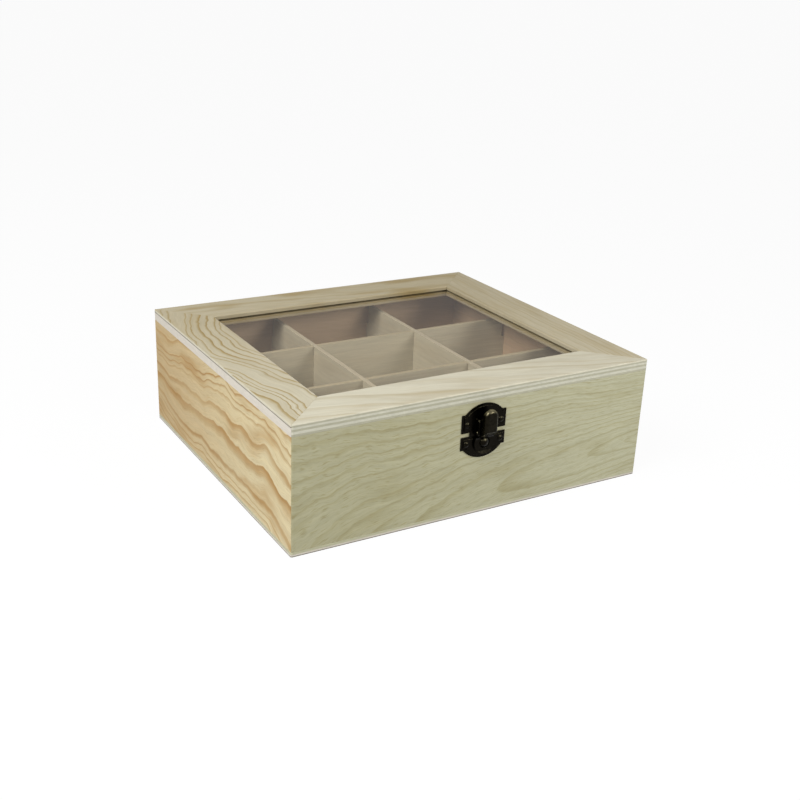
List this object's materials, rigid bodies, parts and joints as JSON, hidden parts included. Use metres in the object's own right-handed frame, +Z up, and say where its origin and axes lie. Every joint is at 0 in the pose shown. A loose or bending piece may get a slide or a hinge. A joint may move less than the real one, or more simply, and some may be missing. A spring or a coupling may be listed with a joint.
{
  "type": "tea bag organizer box",
  "caption": "Hinged wooden box divided into a grid of square cells, with a framed see-through window in the lid and a sprung rocker latch.",
  "frame": {"origin": "Middle of the underside, centred on the walls: the footprint's centre without the latch and the hinges. Z = 0 is the surface that the box stands on.", "axes": "+X to the user's right along the width, +Y from the front with the latch to the back with the hinges, +Z up."},
  "size_m": [0.24, 0.2259, 0.0775],
  "materials": {
    "pine": "pale, close-grained, waxed smooth",
    "pine_warm": "pale with warm, wavy grain, waxed smooth",
    "plywood": "thin pale plywood",
    "divider_wood": "thin planed boards, unvarnished",
    "pane": "clear and polished",
    "bronze": "antique bronze plating, rubbed bright at the edges",
    "spring_steel": "drawn wire"
  },
  "bodies": {
    "box": {"bottom_panel": "plywood", "body_front_wall": "pine", "body_right_wall": "pine", "body_back_wall": "pine", "body_left_wall": "pine_warm", "divider_front": "divider_wood", "divider_rear": "divider_wood", "divider_left": "divider_wood", "divider_right": "divider_wood", "hinge_leaf_body_left": "bronze", "hinge_leaf_body_right": "bronze", "hinge_pin_left": "bronze", "hinge_pin_right": "bronze", "hinge_screws_body": "bronze", "catch_plate": "bronze", "catch_stud": "bronze", "catch_screws": "bronze"},
    "lid": {"lid_front_wall": "pine", "lid_right_wall": "pine", "lid_back_wall": "pine", "lid_left_wall": "pine_warm", "frame_front_rail": "pine", "frame_right_rail": "pine", "frame_back_rail": "pine", "frame_left_rail": "pine_warm", "window_pane": "pane", "hinge_leaf_lid_left": "bronze", "hinge_leaf_lid_right": "bronze", "hinge_screws_lid": "bronze", "latch_plate": "bronze", "latch_pin": "bronze", "latch_spring": "spring_steel", "latch_screws": "bronze"},
    "rocker": {"latch_rocker": "bronze"}
  },
  "joints": [
    {"name": "lid_hinge", "type": "hinge", "parent": "box", "child": "lid", "pos_m": [0, 0.10855, 0.0505], "axis": [-1, 0, 0], "range_deg": [0, 180]},
    {"name": "latch_pivot", "type": "hinge", "parent": "lid", "child": "rocker", "pos_m": [0, -0.1098, 0.0529], "axis": [-1, 0, 0], "range_deg": [0, 18], "stiffness_Nm_per_rad": 0.01, "springref_deg": -34.38, "deforming": ["latch_spring"]}
  ]
}
